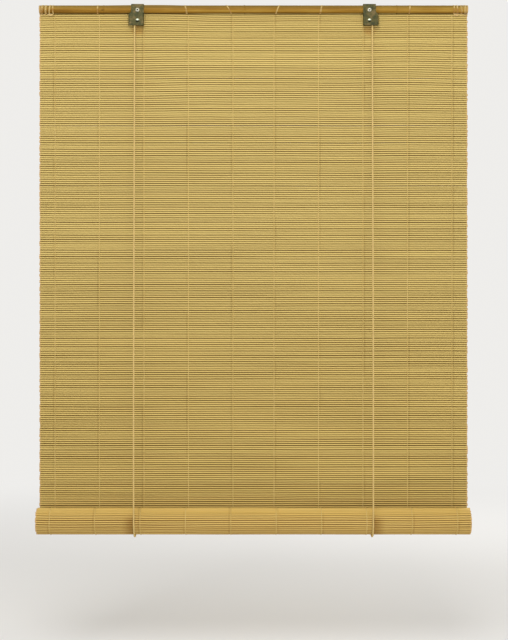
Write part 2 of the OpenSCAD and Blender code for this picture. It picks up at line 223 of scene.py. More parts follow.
class Finish:
    """A material, with short calls for the nodes that the finishes share."""

    def __init__(self, name, roughness=0.5, metallic=0.0, specular=0.5):
        self.material = bpy.data.materials.new(name)
        self.material.use_nodes = True
        self.tree = self.material.node_tree
        self.shader = self.tree.nodes["Principled BSDF"]
        self.shader.inputs["Roughness"].default_value = roughness
        self.shader.inputs["Metallic"].default_value = metallic
        self.shader.inputs["Specular IOR Level"].default_value = specular
        self.place = self.tree.nodes.new("ShaderNodeTexCoord").outputs["Object"]

    def put(self, socket, value):
        """Links an output to a socket, or writes a constant on it."""
        if isinstance(value, bpy.types.NodeSocket):
            self.tree.links.new(value, socket)
        else:
            socket.default_value = value

    def attribute(self, name):
        node = self.tree.nodes.new("ShaderNodeAttribute")
        node.attribute_name = name
        return node.outputs["Fac"]

    def stretched(self, scale):
        node = self.tree.nodes.new("ShaderNodeMapping")
        node.inputs["Scale"].default_value = scale
        self.tree.links.new(self.place, node.inputs["Vector"])
        return node.outputs["Vector"]

    def noise(self, scale, detail=FINE, rough=0.55):
        """Noise on the piece's own place; scale is in cycles a metre along X, Y and Z."""
        node = self.tree.nodes.new("ShaderNodeTexNoise")
        node.inputs["Scale"].default_value = 1.0
        node.inputs["Detail"].default_value = detail
        node.inputs["Roughness"].default_value = rough
        self.tree.links.new(self.stretched(scale), node.inputs["Vector"])
        return node.outputs["Fac"]

    def maths(self, operation, a, b=0.0):
        node = self.tree.nodes.new("ShaderNodeMath")
        node.operation = operation
        self.put(node.inputs[0], a)
        self.put(node.inputs[1], b)
        return node.outputs[0]

    def apart(self, a, b):
        """Length of a step with the sides a and b."""
        squares = self.maths("ADD", self.maths("MULTIPLY", a, a), self.maths("MULTIPLY", b, b))
        return self.maths("SQRT", squares)

    def added(self, value, pattern, share):
        """The value with a share of a pattern added to it."""
        return self.maths("ADD", value, self.maths("MULTIPLY", pattern, share))

    def between(self, value, low, high):
        """0 at low, 1 at high, smooth between."""
        node = self.tree.nodes.new("ShaderNodeMapRange")
        node.interpolation_type = "SMOOTHSTEP"
        self.put(node.inputs["Value"], value)
        node.inputs["From Min"].default_value = low
        node.inputs["From Max"].default_value = high
        return node.outputs["Result"]

    def oval(self, across, half_w, up, half_h):
        """1 in the core of an oval patch and 0 from its edge out; across and up start at its middle."""
        across = self.maths("MULTIPLY", across, 1 / half_w)
        up = self.maths("MULTIPLY", up, 1 / half_h)
        return self.between(self.apart(across, up), 1.0, OVAL_CORE)

    def ramp(self, value, stops, colours):
        node = self.tree.nodes.new("ShaderNodeValToRGB")
        elements = node.color_ramp.elements
        while len(elements) < len(stops):
            elements.new(1.0)
        for element, at, colour in zip(elements, stops, colours):
            element.position = at
            element.color = colour
        self.put(node.inputs["Fac"], value)
        return node.outputs["Color"]

    def mix(self, share, a, b, blend="MIX"):
        node = self.tree.nodes.new("ShaderNodeMix")
        node.data_type = "RGBA"
        node.blend_type = blend
        self.put(node.inputs[0], share)
        self.put(node.inputs[6], a)
        self.put(node.inputs[7], b)
        return node.outputs[2]

    def tinted(self, base, pattern, share, colour, blend="MIX"):
        """The base, moved by a share towards a colour where the pattern is 1."""
        return self.mix(self.maths("MULTIPLY", pattern, share), base, colour, blend)

    def axis(self, name):
        """The piece's own X, Y or Z."""
        node = self.tree.nodes.new("ShaderNodeSeparateXYZ")
        self.tree.links.new(self.place, node.inputs[0])
        return node.outputs[name]

    def colour(self, value):
        self.put(self.shader.inputs["Base Color"], value)

    def rough(self, value, low, high):
        """Roughness between two values, by a 0 to 1 pattern."""
        node = self.tree.nodes.new("ShaderNodeMapRange")
        self.put(node.inputs["Value"], value)
        node.inputs["To Min"].default_value = low
        node.inputs["To Max"].default_value = high
        self.put(self.shader.inputs["Roughness"], node.outputs["Result"])

    def relief(self, height, depth, strength=0.6):
        node = self.tree.nodes.new("ShaderNodeBump")
        node.inputs["Strength"].default_value = strength
        node.inputs["Distance"].default_value = depth
        self.put(node.inputs["Height"], height)
        self.put(self.shader.inputs["Normal"], node.outputs["Normal"])


# Dry reed: noise in cycles a metre along X, Y and Z, and how much each pattern adds to a reed's tone
REED_FIBRES, FIBRE_TONE = (9, 2400, 2400), 0.3
REED_STAIN, STAIN_TONE = (7, 45, 45), 0.06
REED_STOPS = (0.4, 0.56, 0.96)
REED_ROUGH = (0.42, 0.62)
REED_RELIEF = 0.15 * MM
# The painted shade of a line between reeds starts and is full at these shares of the way from a reed's
# middle to its edge
LINE_START, LINE_FULL = 0.411, 0.597
# Painted shade: reeds turn a little darker and warmer from this far below the top of the mat
LOW_SHADE_FROM, LOW_SHADE_SHARE, LOW_SHADE_TINT = 0.35, 0.5, linear(255, 248, 232)
# Paler wood at the cut ends, measured in from the end
CUT_START, CUT_FULL = 3.5 * MM, 0.5 * MM
CUT_SHARE, CUT_REED = 0.75, linear(212, 174, 122)
# Painted shade in the creases, and darker stretches of the threads, come where this noise is between two
# values
THREAD_STRETCHES = (23, 23, 11)
CREASE_STRETCH = (0.35, 0.6)
CREASE_START, CREASE_SHARE = 0.3, 0.27


def reed_finish(name, dark, middle, light, line, lit_apart, sling_side_colour=None):
    """Dry split reed: gold with fine fibres along it, painted shade in the lines between reeds and paler cut
    ends.

    Reeds that lie apart, with dark lines between them, are painted lighter than reeds that lie close, as
    painted light.
    The wound reeds are darker brown beside the slings, and rust from the brackets has run down the hanging
    ones.
    """
    finish = Finish(name, specular=0.08)
    fibres = finish.noise(REED_FIBRES)
    stain = finish.noise(REED_STAIN, BROAD)
    tone = finish.added(finish.attribute("tone"), stain, STAIN_TONE)
    tone = finish.added(tone, fibres, FIBRE_TONE)
    # Painted light: reeds with strong lines between them are painted lighter
    tone = finish.added(tone, finish.attribute("shade"), lit_apart)
    skin = finish.ramp(tone, REED_STOPS, (dark, middle, light))
    # Painted shade, darker and warmer towards the bottom of the mat
    low_down = finish.between(finish.axis("Z"), mat_top - LOW_SHADE_FROM, mat_bottom)
    skin = finish.tinted(skin, low_down, LOW_SHADE_SHARE, LOW_SHADE_TINT, "MULTIPLY")
    far_out = finish.maths("ABSOLUTE", finish.axis("X"))
    if sling_side_colour:
        skin = finish.tinted(skin, sling_side_patch(finish, far_out), SLING_SIDE_SHARE, sling_side_colour)
    # Painted shade along each reed's edges, where it meets its neighbour
    rim = finish.between(finish.attribute("rim"), LINE_START, LINE_FULL)
    skin = finish.tinted(skin, rim, finish.attribute("shade"), line)
    if not sling_side_colour:
        skin = finish.tinted(skin, rust_patch(finish, far_out), RUST_SHARE, RUST)
    # Painted shade in the creases that the threads bite into the reeds, in stretches
    crease = finish.between(finish.attribute("crease"), CREASE_START, 1.0)
    stretches = finish.between(finish.noise(THREAD_STRETCHES, BROAD), *CREASE_STRETCH)
    skin = finish.tinted(skin, crease, finish.maths("MULTIPLY", stretches, CREASE_SHARE), line)
    cut = finish.between(far_out, mat_w / 2 - CUT_START, mat_w / 2 - CUT_FULL)
    finish.colour(finish.tinted(skin, cut, CUT_SHARE, CUT_REED))
    finish.rough(fibres, *REED_ROUGH)
    finish.relief(fibres, REED_RELIEF)
    return finish.material


# The darker brown patch beside each sling: how far it runs out from the sling's middle and up from the
# roll's axis
SLING_SIDE_SHARE = 0.55
SLING_SIDE_OUT, SLING_SIDE_FULL, SLING_SIDE_UP = 26 * MM, 2 * MM, 18 * MM
SLING_SIDE_IN, SLING_SIDE_IN_FULL = -1.5 * MM, 0.5 * MM


def sling_side_patch(finish, far_out):
    """1 beside the slings, on their outer side, where the roll is darker brown."""
    fading = finish.between(far_out, sling_x + SLING_SIDE_OUT, sling_x + SLING_SIDE_FULL)
    inner_edge = finish.between(far_out, sling_x + SLING_SIDE_IN, sling_x + SLING_SIDE_IN_FULL)
    low_down = finish.between(finish.axis("Z"), roll_axis.z + SLING_SIDE_UP, roll_axis.z)
    return finish.maths("MULTIPLY", finish.maths("MULTIPLY", fading, inner_edge), low_down)


RUST, RUST_SHARE = linear(170, 118, 44), 0.4
RUST_W, RUST_H = 16 * MM, 14 * MM


def rust_patch(finish, far_out):
    """1 just under each bracket, where rust has run down the mat."""
    across = finish.maths("SUBTRACT", far_out, pulley.x)
    up = finish.maths("SUBTRACT", finish.axis("Z"), bracket_low.z - RUST_H / 2)
    return finish.oval(across, RUST_W, up, RUST_H)


# Bamboo skin: noise in cycles a metre along X, Y and Z, and each pattern's share of the tone
BAMBOO_STREAKS, STREAK_SHARE = (3.5, 160, 160), 0.55
BAMBOO_BLOTCHES, BLOTCH_SHARE = (11, 26, 26), 0.3
BAMBOO_FIBRES, BAMBOO_FIBRE_SHARE = (14, 1500, 1500), 0.15
BAMBOO_STOPS = (0.36, 0.50, 0.64)
BAMBOO_ROUGH = (0.45, 0.6)
BAMBOO_RELIEF = 0.1 * MM


def bamboo_skin_finish(name, light, middle, dark, marks_and_shade=None):
    """Polished bamboo: long amber streaks under a hard skin, with the marks and painted shade that the last
    argument gives.
    """
    finish = Finish(name, specular=0.14)
    streaks = finish.noise(BAMBOO_STREAKS)
    fibres = finish.noise(BAMBOO_FIBRES)
    blotches = finish.noise(BAMBOO_BLOTCHES, BROAD)
    tone = finish.added(finish.maths("MULTIPLY", streaks, STREAK_SHARE), blotches, BLOTCH_SHARE)
    tone = finish.added(tone, fibres, BAMBOO_FIBRE_SHARE)
    skin = finish.ramp(tone, BAMBOO_STOPS, (dark, middle, light))
    finish.colour(marks_and_shade(finish, skin) if marks_and_shade else skin)
    finish.rough(fibres, *BAMBOO_ROUGH)
    finish.relief(fibres, BAMBOO_RELIEF, strength=0.35)
    return finish.material


# Marks and painted shadow on the batten: heights from its middle, painted shadow up from its lower edge, and
# cut wood in from its end
batten_mid_z = (batten_low.z + batten_high.z) / 2
OLIVE_START, OLIVE_FULL = -2 * MM, 4 * MM
OLIVE_SHARE, OLIVE = 0.62, linear(112, 90, 34)
SCAR_X, SCAR_UP, SCAR_L, SCAR_W = -281 * MM, -2.5 * MM, 5 * MM, 1.8 * MM
SCAR_SHARE, SCAR = 0.6, linear(70, 44, 8)
LOWER_EDGE_SHADE_START, LOWER_EDGE_SHADE_FULL = 2.2 * MM, 0.8 * MM
LOWER_EDGE_SHADE_SHARE, LOWER_EDGE_SHADE = 0.8, linear(62, 42, 4)
CUT_BAMBOO_START, CUT_BAMBOO_FULL = 5 * MM, 1 * MM
CUT_BAMBOO_SHARE, CUT_BAMBOO = 0.6, linear(206, 174, 118)


def batten_marks_and_shade(finish, skin):
    """Olive on the upper side, a dark scar beside one node, a painted shadow along the lower edge and pale
    cut ends.
    """
    x, z = finish.axis("X"), finish.axis("Z")
    upper = finish.between(z, batten_mid_z + OLIVE_START, batten_mid_z + OLIVE_FULL)
    skin = finish.tinted(skin, upper, OLIVE_SHARE, OLIVE)
    along = finish.maths("SUBTRACT", x, SCAR_X)
    up = finish.maths("SUBTRACT", z, batten_mid_z + SCAR_UP)
    skin = finish.tinted(skin, finish.oval(along, SCAR_L, up, SCAR_W), SCAR_SHARE, SCAR)
    # Painted shadow along the batten's lower edge, where it meets the mat
    lower = finish.between(z, batten_low.z + LOWER_EDGE_SHADE_START, batten_low.z + LOWER_EDGE_SHADE_FULL)
    skin = finish.tinted(skin, lower, LOWER_EDGE_SHADE_SHARE, LOWER_EDGE_SHADE)
    far_out = finish.maths("ABSOLUTE", x)
    cut = finish.between(far_out, batten_high.x - CUT_BAMBOO_START, batten_high.x - CUT_BAMBOO_FULL)
    return finish.tinted(skin, cut, CUT_BAMBOO_SHARE, CUT_BAMBOO)


# Spun cotton: fibres in cycles a metre
THREAD_GRAIN, CORD_GRAIN = 2600, 2200
FUZZ_STOPS = (0.3, 0.68)
FUZZ_RELIEF = 0.2 * MM


def spun_finish(name, light, dark, grain, soil_and_shade=None):
    """Spun cotton: short fibres round a soft thread, darkened where the last argument gives a pattern."""
    finish = Finish(name, roughness=0.85, specular=0.2)
    fuzz = finish.noise((grain, grain, grain / 2), rough=0.7)
    cotton = finish.ramp(fuzz, FUZZ_STOPS, (dark, light))
    finish.colour(soil_and_shade(finish, cotton) if soil_and_shade else cotton)
    finish.relief(fuzz, FUZZ_RELIEF, strength=0.7)
    return finish.material


DARK_STRETCH = (0.4, 0.56)
DARK_THREAD_SHARE, DARK_THREAD = 0.7, linear(196, 168, 97)


def thread_stretches(finish, cotton):
    """Stretches of a warp thread that have gone as dark as the reeds."""
    stretches = finish.between(finish.noise(THREAD_STRETCHES, BROAD), *DARK_STRETCH)
    return finish.tinted(cotton, stretches, DARK_THREAD_SHARE, DARK_THREAD)


# Turns round the batten: darker amber in patches from its middle down, and pale under its lower edge
LOW_AMBER_START, LOW_AMBER_FULL = 2.5 * MM, -1 * MM
LOW_AMBER_NOISE, LOW_AMBER_PATCH = (70, 70, 40), (0.36, 0.56)
LOW_AMBER_SHARE, LOW_AMBER = 0.85, linear(166, 118, 54)
UNDER_EDGE_START = 1 * MM
UNDER_EDGE_SHARE, UNDER_EDGE_PALE = 0.8, linear(226, 198, 138)


def amber_turns(finish, cotton):
    """Turns round the batten that are darker amber from its middle down, some more than others."""
    z = finish.axis("Z")
    low_down = finish.between(z, batten_mid_z + LOW_AMBER_START, batten_mid_z + LOW_AMBER_FULL)
    patches = finish.between(finish.noise(LOW_AMBER_NOISE, BROAD), *LOW_AMBER_PATCH)
    darker_low = finish.maths("MULTIPLY", low_down, patches)
    cotton = finish.tinted(cotton, darker_low, LOW_AMBER_SHARE, LOW_AMBER)
    below = finish.between(z, batten_low.z + UNDER_EDGE_START, batten_low.z)
    return finish.tinted(cotton, below, UNDER_EDGE_SHARE, UNDER_EDGE_PALE)


# Sheet steel: noise in cycles a metre, and each pattern's share of the tone
STEEL_CLOUDS, CLOUD_SHARE = (150, 150, 150), 0.75
STEEL_SCUFFS, SCUFF_SHARE = (1100, 700, 300), 0.25
STEEL_STOPS = (0.34, 0.50, 0.66)
STEEL_ROUGH = (0.38, 0.62)
SCUFF_RELIEF = 0.05 * MM


def dull_steel_finish():
    """Olive passivated sheet with cloudy stains."""
    finish = Finish("dull_sheet_steel", metallic=0.3, specular=0.4)
    clouds = finish.noise(STEEL_CLOUDS)
    scuffs = finish.noise(STEEL_SCUFFS, detail=4.0, rough=0.7)
    tone = finish.added(finish.maths("MULTIPLY", clouds, CLOUD_SHARE), scuffs, SCUFF_SHARE)
    colours = (linear(42, 46, 12), linear(72, 68, 24), linear(108, 90, 50))
    finish.colour(finish.ramp(tone, STEEL_STOPS, colours))
    finish.rough(scuffs, *STEEL_ROUGH)
    finish.relief(scuffs, SCUFF_RELIEF, strength=0.3)
    return finish.material


ZINC_WEAR = (1600, 1600, 1600)


def plated_finish(name, colour, worn, low_rough, high_rough, soil_and_shade=None):
    """Zinc plating with fine wear, and painted shade where the last argument gives a pattern."""
    finish = Finish(name, metallic=0.9)
    wear = finish.noise(ZINC_WEAR)
    plating = finish.mix(wear, colour, worn)
    finish.colour(soil_and_shade(finish, plating) if soil_and_shade else plating)
    finish.rough(wear, low_rough, high_rough)
    return finish.material


# Painted shade on screw and rivet heads: heights are from the middle of the head
screw_z = (screw_low.z + screw_high.z) / 2
HEAD_SHADE = linear(34, 34, 16)
SCREW_SHADE_START, SCREW_SHADE_FULL, SCREW_SHADE_SHARE = -1.2 * MM, -4 * MM, 0.6
RECESS_R, RECESS_FULL_R = 2 * MM, 1.2 * MM
RIVET_SHADE_START, RIVET_SHADE_FULL = 0.3 * MM, -1.3 * MM


def shaded_screw(finish, plating):
    """Painted shade in the recess of a bracket screw and along the lower side of its head."""
    across = finish.maths("SUBTRACT", finish.maths("ABSOLUTE", finish.axis("X")), pulley.x)
    up = finish.maths("SUBTRACT", finish.axis("Z"), screw_z)
    below = finish.between(up, SCREW_SHADE_START, SCREW_SHADE_FULL)
    plating = finish.tinted(plating, below, SCREW_SHADE_SHARE, HEAD_SHADE)
    recess = finish.between(finish.apart(across, up), RECESS_R, RECESS_FULL_R)
    return finish.mix(recess, plating, HEAD_SHADE)


def shaded_rivet(finish, plating):
    """Painted shade over the lower half of a rivet's dome."""
    up = finish.maths("SUBTRACT", finish.axis("Z"), pulley.z)
    return finish.mix(finish.between(up, RIVET_SHADE_START, RIVET_SHADE_FULL), plating, HEAD_SHADE)


NYLON_GRAIN, NYLON_STOPS, NYLON_ROUGH = (1800, 1800, 1800), (0.3, 0.7), (0.4, 0.55)


def nylon_finish():
    """Moulded nylon with a fine grain."""
    finish = Finish("moulded_nylon", specular=0.4)
    grain = finish.noise(NYLON_GRAIN, BROAD)
    finish.colour(finish.ramp(grain, NYLON_STOPS, (linear(48, 45, 38), linear(70, 66, 55))))
    finish.rough(grain, *NYLON_ROUGH)
    return finish.material


hanging_reed = reed_finish(
    "dry_reed", dark=linear(172, 146, 72), middle=linear(192, 165, 90), light=linear(255, 228, 142),
    line=linear(90, 56, 0), lit_apart=0.42)
wound_reed = reed_finish(
    "golden_reed", dark=linear(186, 147, 52), middle=linear(208, 167, 70), light=linear(255, 226, 142),
    line=linear(112, 66, 0), lit_apart=0.36, sling_side_colour=linear(142, 100, 36))
split_bamboo = bamboo_skin_finish(
    "polished_split_bamboo", light=linear(174, 138, 56), middle=linear(150, 110, 34),
    dark=linear(116, 78, 16), marks_and_shade=batten_marks_and_shade)
round_bamboo = bamboo_skin_finish(
    "planed_round_bamboo", light=linear(206, 182, 118), middle=linear(180, 150, 82),
    dark=linear(150, 116, 58))
cotton_thread = spun_finish(
    "cotton_thread", linear(226, 201, 134), linear(192, 164, 94), THREAD_GRAIN, soil_and_shade=thread_stretches)
binding_thread = spun_finish(
    "binding_thread", linear(224, 200, 136), linear(180, 148, 82), THREAD_GRAIN, soil_and_shade=amber_turns)
cotton_cord = spun_finish("cotton_cord", linear(230, 203, 138), linear(190, 160, 96), CORD_GRAIN)
dull_steel = dull_steel_finish()
bright_zinc = plated_finish(
    "bright_zinc", linear(222, 220, 206), linear(120, 116, 98), low_rough=0.2, high_rough=0.4)
screw_zinc = plated_finish(
    "screw_zinc", linear(254, 252, 236), linear(216, 212, 190), low_rough=0.2, high_rough=0.36,
    soil_and_shade=shaded_screw)
dull_zinc = plated_finish(
    "dull_zinc", linear(240, 246, 220), linear(196, 204, 172), low_rough=0.22, high_rough=0.36,
    soil_and_shade=shaded_rivet)
black_nylon = nylon_finish()


# Reeds

def outward(x, step):
    """A place moved away from the middle of the blind."""
    return x + step * math.copysign(1, x)


def reed_stations(creases):
    """Places along a reed: its two ends, both sides and the middle of each crease, and mid-bay."""
    middles = [(a + b) / 2 for a, b in zip(creases, creases[1:])]
    bitten = [c + side * CREASE_HALF for c in creases for side in (-1, 0, 1)]
    return [-mat_w / 2] + sorted(bitten + middles) + [mat_w / 2]


def straight_reed(bm, stations):
    """A reed of unit section along X, with a ring of points at each station."""
    ring = Matrix.Translation((stations[0], 0, 0))
    ring = ring @ Matrix.Rotation(math.pi / 2, 4, "Y") @ Matrix.Rotation(math.pi / 2, 4, "Z")
    made = bmesh.ops.create_circle(bm, cap_ends=True, segments=REED_SIDES, radius=1.0, matrix=ring)
    face = made["verts"][0].link_faces[0]
    for before, after in zip(stations, stations[1:]):
        grown = bmesh.ops.extrude_face_region(bm, geom=[face])["geom"]
        face = next(g for g in grown if isinstance(g, bmesh.types.BMFace))
        bmesh.ops.translate(bm, verts=face.verts, vec=(after - before, 0, 0))
    bmesh.ops.recalc_face_normals(bm, faces=bm.faces)
    for side in bm.faces:
        side.smooth = len(side.verts) == 4
    for edge in bm.edges:
        edge.smooth = all(f.smooth for f in edge.link_faces)


# Kinds of wander, and steps in its noise that make neighbouring reeds and bays unlike
BOWS, SWAYS, TONES, LINES, WOBBLES = 1, 2, 3, 5, 6
NEXT_KIND = 31.7
NEXT_REED, NEXT_REED_TONE, NEXT_BAY = 1.7, 1.73, 0.5
# Noise is 0 on whole numbers, so it is read beside them
OFF_GRID_A, OFF_GRID_B = 0.37, 0.41


def wander(a, b, kind):
    """Smooth change over two measures, from about -0.7 to 0.7, with a pattern of its own for each kind."""
    return noise.noise(Vector((a + OFF_GRID_A, b + OFF_GRID_B, kind * NEXT_KIND)))


def clamp(value):
    return min(1.0, max(0.0, value))


class Reed:
    """One reed's own size, colour and place along the mat, counted from where the mat or the roll begins."""

    def __init__(self, index, creases, darkness, tone):
        self.index = index
        self.creases = creases
        self.darkness = darkness
        self.height = reed_pitch * (REED_FILL + REED_FILL_SPREAD * draw.uniform(-1, 1)) / 2
        self.depth = reed_t * (1 - REED_DEPTH_SPREAD * draw.random()) / 2
        self.tone = tone + draw.uniform(-TONE_SPREAD, TONE_SPREAD)
        self.jog = draw.uniform(-JOG, JOG)
        self.ends = [draw.uniform(-1, END_PROUD) * END_RAGGED for _ in SIDES]

    def crease(self, x):
        """1 where a thread bites into the reed, 0 elsewhere."""
        return float(min(abs(x - c) for c in self.creases) < CREASE_HALF / 2)

    def bay(self, x):
        """Number of the bay between two creases, with halves on the creases themselves."""
        return sum(0.5 if abs(x - c) < CREASE_HALF / 2 else float(x > c) for c in self.creases)

    def bow(self, x):
        """How far the reed lies along the mat and out of it from its even place."""
        loose = BOW_LOW + (1 - BOW_LOW) * clamp(1 - self.index / LOOSE_REEDS)
        along = self.jog + BOW * loose * wander(x / BOW_SPAN, self.index / BOW_REEDS, BOWS)
        out = SWAY * wander(x / BOW_SPAN, self.index * NEXT_REED, SWAYS)
        return along, out + (STAGGER if self.index % 2 else -STAGGER) / 2

    def line(self, x, along):
        """Darkness of the painted shade in the line between this reed and its neighbour on the side of
        along.
        """
        gap = self.index + (along > 0)
        return self.darkness * clamp(LINE_EVEN + LINE_SPREAD * wander(gap * NEXT_REED, x / LINE_SPAN, LINES))

    def end_shift(self, x):
        """How far a point at the reed's end stands proud of the mat's edge or short of it."""
        if abs(x) < mat_w / 2 - MM:
            return 0.0
        return self.ends[0] if x > 0 else -self.ends[1]

    def shape(self, verts, place, layers):
        """Moves the points of a unit reed: place turns (along, out) into (y, z)."""
        for vert in verts:
            x, out, along = vert.co
            bow, sway = self.bow(x)
            crease = self.crease(x)
            bay_tone = BAY_TONE * wander(self.index * NEXT_REED_TONE, self.bay(x) * NEXT_BAY, TONES)
            bite = 1 - (1 - CREASE_DEPTH) * crease
            y, z = place(bow + along * self.height, sway + out * self.depth * bite)
            vert[layers["tone"]] = self.tone + bay_tone
            vert[layers["rim"]] = abs(along)
            vert[layers["shade"]] = self.line(x, along)
            vert[layers["crease"]] = crease
            vert.co = (x + self.end_shift(x), y, z)


# What each point of a reed tells its finish
REED_LAYERS = ("tone", "rim", "shade", "crease")


def reeds_mesh(name, stations, reeds, place_of):
    """Copies of one straight reed, each shaped to its own place."""
    bm = bmesh.new()
    for key in REED_LAYERS:
        bm.verts.layers.float.new(key)
    # Making a layer loses hold of those before it, so they are fetched when all are there
    layers = {key: bm.verts.layers.float[key] for key in REED_LAYERS}
    straight_reed(bm, stations)
    pattern = bm.verts[:] + bm.edges[:] + bm.faces[:]
    for reed in reeds:
        copied = bmesh.ops.duplicate(bm, geom=pattern)["geom"]
        reed.shape([g for g in copied if isinstance(g, bmesh.types.BMVert)], place_of(reed), layers)
    bmesh.ops.delete(bm, geom=[g for g in pattern if isinstance(g, bmesh.types.BMVert)], context="VERTS")
    mesh = bpy.data.meshes.new(name)
    bm.to_mesh(mesh)
    bm.free()
    return mesh


def hanging_place(reed):
    """Along runs down the hanging mat, and out runs to its front."""
    z = mat_top - (reed.index + 0.5) * reed_pitch
    return lambda along, out: (mat_y - out, z - along)


# The wound mat: a spiral whose turns shrink from the tangent line behind the roll
TURN_CLEAR, CORE_CLEAR = 0.25 * MM, 0.1 * MM
chord_sag = reed_pitch ** 2 / (8 * core_r)
turn_pitch = reed_t + TURN_CLEAR + chord_sag
wind_r = roll_r - reed_t / 2
wind_end_r = core_r + CORE_CLEAR + chord_sag + reed_t / 2
wound_count = int(math.pi * (wind_r ** 2 - wind_end_r ** 2) / turn_pitch / reed_pitch)


def wound_angle(length):
    """Angle round the roll, from its back and down under it, after a length of wound mat."""
    return (wind_r - math.sqrt(wind_r ** 2 - turn_pitch * length / math.pi)) * math.tau / turn_pitch


def wound_point(angle, out=0.0):
    """(y, z) on the wound mat at an angle, raised from the middle of its band."""
    r = wind_r - turn_pitch * angle / math.tau + out
    return roll_axis.y + r * math.cos(angle), roll_axis.z - r * math.sin(angle)


def wound_place(reed):
    """Along runs round the roll, and out runs away from its axis."""
    angle = wound_angle((reed.index + 0.5) * reed_pitch)
    y, z = wound_point(angle)
    c, s = math.cos(angle), math.sin(angle)
    return lambda along, out: (y + out * c - along * s, z - out * s - along * c)


# Lines and tones of the hanging reeds, with what the reeds near the batten lose and the painted light that
# those near the roll gain
HUNG_LINE, HUNG_LINE_GROWTH, HUNG_TONE = 0.87, 0.07, 0.44
BATTEN_REEDS, BATTEN_LINE, BATTEN_TONE = 40, 0.16, 0.1
ROLL_REEDS, NEAR_ROLL_PAINTED_LIGHT = 14, 0.2


def hanging_reed_at(index):
    """A reed of the hanging mat: lines are faint and reeds a little darker near the batten, and reeds near
    the roll are painted paler, as painted light against the roll's shade.
    """
    near_batten = clamp(1 - index / BATTEN_REEDS)
    near_roll = clamp((index - REED_COUNT) / ROLL_REEDS + 1)
    darkness = HUNG_LINE + HUNG_LINE_GROWTH * index / REED_COUNT - BATTEN_LINE * near_batten
    return Reed(index, warp_places, darkness, HUNG_TONE - BATTEN_TONE * near_batten + NEAR_ROLL_PAINTED_LIGHT * near_roll)


def hanging_mat():
    """The reeds that hang from the batten to the roll."""
    reeds = [hanging_reed_at(i) for i in range(REED_COUNT)]
    mesh = reeds_mesh("hanging_reeds", reed_stations(warp_places), reeds, hanging_place)
    piece = new_object("hanging_reeds", mesh, hanging_reed, "head", "reed", "reed_mat")
    shorten(piece)


# Lines and tones of the wound reeds, with where the top of the roll begins, and the fainter lines and
# painted light there
WOUND_LINE, WOUND_TONE = 0.88, 0.43
TOP_RISE, TOP_START = 1.5, 0.4
TOP_LINE, TOP_PAINTED_LIGHT = 0.5, 0.1
INNER_LINE, INNER_TONE = 0.8, 0.4


def outer_reed(index, creases):
    """A reed of the outer turn: those on top of the roll lie close, with only faint lines, and are painted
    paler as painted light from above.
    """
    on_top = clamp(-TOP_RISE * math.sin(wound_angle((index + 0.5) * reed_pitch)) - TOP_START)
    return Reed(index, creases, WOUND_LINE - TOP_LINE * on_top, WOUND_TONE + TOP_PAINTED_LIGHT * on_top)


def wound_mat():
    """The outer turn has full reeds; the turns inside it show only their ends."""
    creases = [outward(w, CREASE_STEP) for w in warp_places]
    outer = [i for i in range(wound_count) if wound_angle(i * reed_pitch) < math.tau]
    reeds = [outer_reed(i, creases) for i in outer]
    mesh = reeds_mesh("outer_turn_reeds", reed_stations(creases), reeds, wound_place)
    new_object("outer_turn_reeds", mesh, wound_reed, "roll", "reed", "reed_roll")
    reeds = [Reed(i, creases, INNER_LINE, INNER_TONE) for i in range(len(outer), wound_count)]
    mesh = reeds_mesh("inner_turn_reeds", [-mat_w / 2, 0.0, mat_w / 2], reeds, wound_place)
    new_object("inner_turn_reeds", mesh, wound_reed, "roll", "reed")


def shorten(piece):
    """Gives the piece a mesh of its own."""
    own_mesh(piece)


# Warp threads: reeds that a wobble spans, a step that makes threads unlike, and the share of a turn covered
WOBBLE_REEDS = 3.1
NEXT_THREAD = 40
THREAD_TURN = 0.93


def thread_path(x, count, face, place):
    """A thread over a row of reeds, dipping between them; place turns (along, out) into (y, z)."""
    path = []
    for i in range(count):
        for step, dip, zigzag in ((0.5, 0.0, -THREAD_ZIGZAG), (1.0, THREAD_DIP, THREAD_ZIGZAG)):
            y, z = place((i + step) * reed_pitch, face * (reed_t / 2 + THREAD_STANDS - dip))
            wobble = THREAD_WOBBLE * wander(i / WOBBLE_REEDS, x * NEXT_THREAD, WOBBLES)
            path.append(Vector((x + wobble + zigzag, y, z)))
    return path


def hanging_threads():
    """A thread down the front of the mat beside each crease, and one down its back."""
    top = thread_high.z
    count = int((top - mat_bottom) / reed_pitch)
    paths = []
    for x in warp_places:
        for face, place_x in ((1, outward(x, -CREASE_STEP)), (-1, x)):
            paths.append(thread_path(place_x, count, face, lambda along, out: (mat_y - out, top - along)))
    mesh = tube_mesh("hanging_warp_threads", paths, THREAD_R)
    piece = new_object("hanging_warp_threads", mesh, cotton_thread, "head", "thread", "warp_threads")
    shorten(piece)


def wound_threads():
    """A thread round the outer turn of the roll, on each warp."""
    count = int(THREAD_TURN * math.tau * wind_r / reed_pitch)
    paths = [
        thread_path(x, count, 1, lambda along, out: wound_point(wound_angle(along), out))
        for x in warp_places
    ]
    mesh = tube_mesh("wound_warp_threads", paths, THREAD_R)
    new_object("wound_warp_threads", mesh, cotton_thread, "roll", "thread", "roll_threads")


# Threads round the batten: leans and slants are in millimetres
TIE_LEANS = [0.0, 0.5, -3.0, -9.0, 7.0, 3.0, 1.0, 0.0]
TIE_SLANT = 0.4
TIE_TURN = 0.62 * MM
TIE_STEP = 1.2 * MM
BRACKET_ROOM = 14 * MM
BINDING_STEPS = [-3, -2, -1]
BINDING_PITCH = 7 * MM
BINDING_TURN = 1.1 * MM
BINDING_LEAN = 1.6
# The knot at each end of the batten, from the outer warp, the front of the mat and the batten's lower edge
KNOT_OUT, KNOT_FORWARD, KNOT_DOWN = 5 * MM, 1.5 * MM, 1.6 * MM
KNOT_R, KNOT_STRETCH = 2.0 * MM, 2.6
KNOT_STEPS = 48
